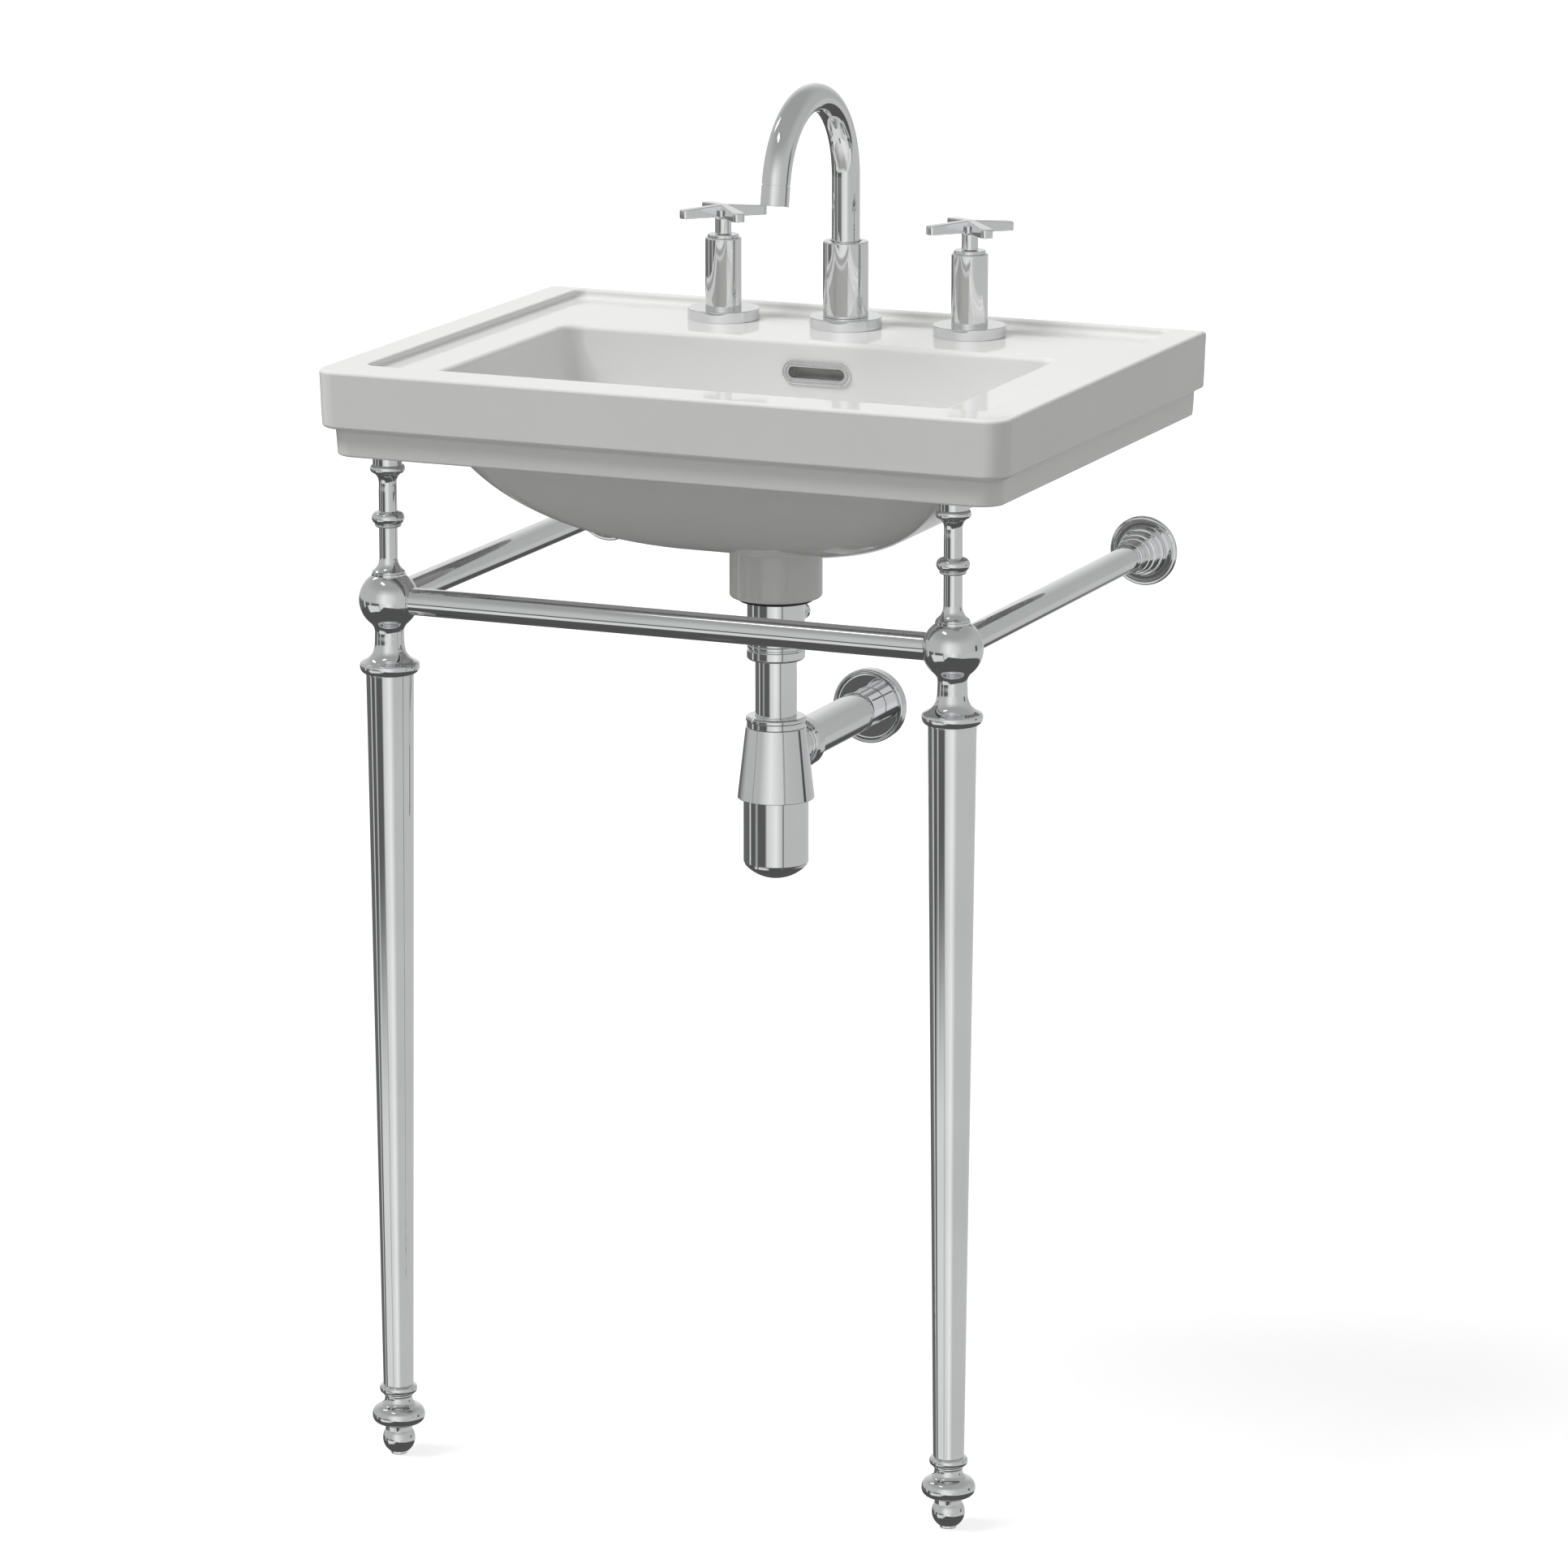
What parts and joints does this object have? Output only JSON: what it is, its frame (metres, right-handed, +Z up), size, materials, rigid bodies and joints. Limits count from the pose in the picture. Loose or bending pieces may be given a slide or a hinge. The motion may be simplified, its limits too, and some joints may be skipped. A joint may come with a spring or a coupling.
{
  "type": "console sink with legs",
  "caption": "Rectangular white ceramic console basin on two turned chromed legs with towel rails, a three-piece cross-handle swan-neck tap and a chromed bottle trap.",
  "frame": {"origin": "on the floor, under the middle of the basin's width and depth", "axes": "+Z up, the basin's front faces -Y, the wall is the plane y = +0.215 m, +X to the right for someone who stands at the front"},
  "size_m": [0.56, 0.43, 1.0478],
  "materials": {
    "ceramic": "high-gloss white glaze",
    "chrome": "polished chrome plate on brass",
    "brass": "plain machined brass",
    "rubber": "matt black rubber"
  },
  "bodies": {
    "sink": {"basin": "ceramic", "overflow_ring": "chrome", "hot_flange": "chrome", "cold_flange": "chrome", "spout_flange": "chrome", "hot_valve_body": "chrome", "cold_valve_body": "chrome", "hot_cartridge": "brass", "cold_cartridge": "brass", "hot_bonnet": "chrome", "cold_bonnet": "chrome", "spout_base": "chrome", "spout_grub_screw": "brass", "deck_washers": "rubber", "deck_nuts": "brass", "waste_flange": "chrome", "waste_seal": "rubber", "waste_body": "chrome", "side_port_nut": "chrome", "tail_nut": "chrome", "inlet_tube": "chrome", "trap_nut": "chrome", "trap_bell": "chrome", "trap_cup": "chrome", "trap_seals": "rubber", "outlet_nut": "chrome", "outlet_pipe": "chrome", "wall_pipe": "chrome", "wall_plate": "chrome", "left_upper_stem": "chrome", "right_upper_stem": "chrome", "left_ball_joint": "chrome", "right_ball_joint": "chrome", "left_leg_tube": "chrome", "right_leg_tube": "chrome", "left_foot": "chrome", "right_foot": "chrome", "front_rail": "chrome", "left_side_rail": "chrome", "right_side_rail": "chrome", "left_rosette": "chrome", "right_rosette": "chrome", "rosette_screws": "brass"},
    "hot_handle": {"hot_handle": "chrome", "hot_spindle": "brass", "hot_handle_screw": "brass"},
    "cold_handle": {"cold_handle": "chrome", "cold_spindle": "brass", "cold_handle_screw": "brass"},
    "spout": {"spout": "chrome", "spout_nozzle": "chrome", "aerator": "rubber"},
    "plug": {"waste_plug": "chrome"},
    "left_pad": {"left_foot_pad": "chrome"},
    "right_pad": {"right_foot_pad": "chrome"}
  },
  "joints": [
    {"name": "hot_handle_turn", "type": "hinge", "parent": "sink", "child": "hot_handle", "pos_m": [-0.1042, 0.1585, 0.92], "axis": [0, 0, 1], "range_deg": [0, 90]},
    {"name": "cold_handle_turn", "type": "hinge", "parent": "sink", "child": "cold_handle", "pos_m": [0.1042, 0.1585, 0.92], "axis": [0, 0, -1], "range_deg": [0, 90]},
    {"name": "spout_swivel", "type": "hinge", "parent": "sink", "child": "spout", "pos_m": [0, 0.1585, 0.9], "axis": [0, 0, 1], "range_deg": [-60, 60]},
    {"name": "waste_plug_lift", "type": "slide", "parent": "sink", "child": "plug", "axis": [0, 0, 1], "range_m": [0, 0.008]},
    {"name": "left_pad_screw", "type": "slide", "parent": "sink", "child": "left_pad", "axis": [0, 0, -1], "range_m": [0, 0.008]},
    {"name": "right_pad_screw", "type": "slide", "parent": "sink", "child": "right_pad", "axis": [0, 0, -1], "range_m": [0, 0.008]}
  ]
}
